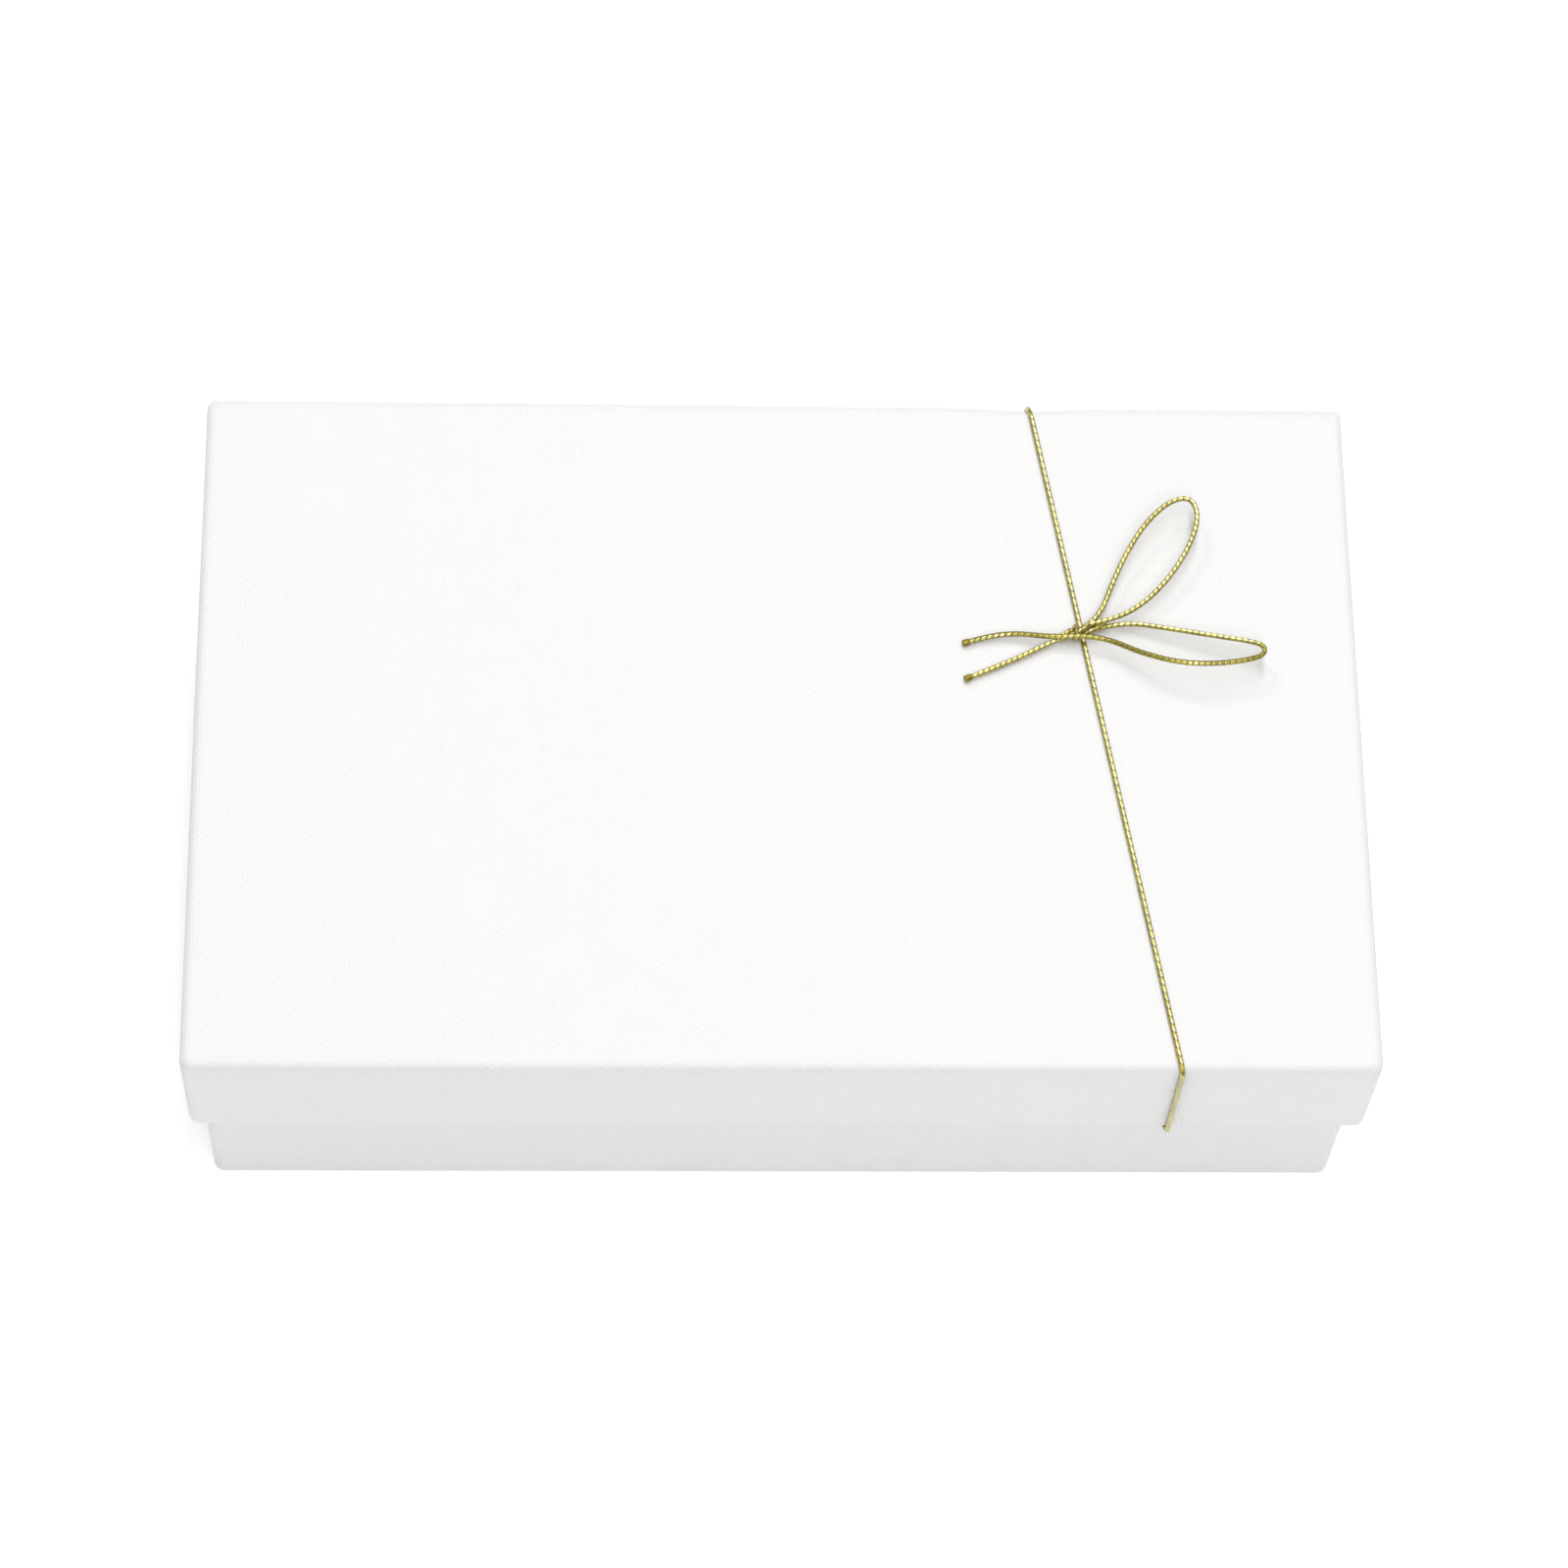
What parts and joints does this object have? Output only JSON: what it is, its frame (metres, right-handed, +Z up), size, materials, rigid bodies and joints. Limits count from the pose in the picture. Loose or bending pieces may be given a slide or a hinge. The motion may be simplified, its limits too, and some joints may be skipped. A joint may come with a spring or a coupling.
{
  "type": "jewelry gift box",
  "caption": "Two-piece rigid gift box in white linen-embossed paper, with a telescoping lift-off lid, a gold elastic cord tied in a bow round the lid, and a flocked foam jewelry pad.",
  "frame": {"origin": "middle of the underside that the box stands on", "axes": "+X along the box's length, +Y across it to the back, +Z up through the lid"},
  "size_m": [0.16, 0.1028, 0.0496],
  "materials": {
    "linen_paper": "matt, linen embossed",
    "lining_paper": "matt, smooth",
    "foot_paper": "matt, smooth",
    "stay_paper": "matt kraft",
    "greyboard": "matt, pulpy",
    "foam": "open-cell foam",
    "flocked_velvet": "short flocked pile",
    "gold_cord": "metallic yarn over elastic",
    "cord_seal": "melted metallic yarn"
  },
  "bodies": {
    "base": {"base_board": "greyboard", "base_wrap": "linen_paper", "base_foot_sheet": "foot_paper", "base_liner": "lining_paper", "base_stay_front_left": "stay_paper", "base_stay_front_right": "stay_paper", "base_stay_back_left": "stay_paper", "base_stay_back_right": "stay_paper"},
    "insert": {"insert_foam": "foam", "insert_velvet": "flocked_velvet"},
    "lid": {"lid_board": "greyboard", "lid_wrap": "linen_paper", "lid_liner": "lining_paper", "lid_stay_front_left": "stay_paper", "lid_stay_front_right": "stay_paper", "lid_stay_back_left": "stay_paper", "lid_stay_back_right": "stay_paper", "band_cord": "gold_cord", "bow_knot": "gold_cord", "bow_cord_upper": "gold_cord", "bow_cord_right": "gold_cord", "tail_tip_upper": "cord_seal", "tail_tip_lower": "cord_seal"}
  },
  "joints": [
    {"name": "insert_lift", "type": "slide", "parent": "base", "child": "insert", "axis": [0, 0, 1], "range_m": [0, 0.045]},
    {"name": "lid_lift", "type": "slide", "parent": "insert", "child": "lid", "axis": [0, 0, 1], "range_m": [0, 0.06]}
  ]
}
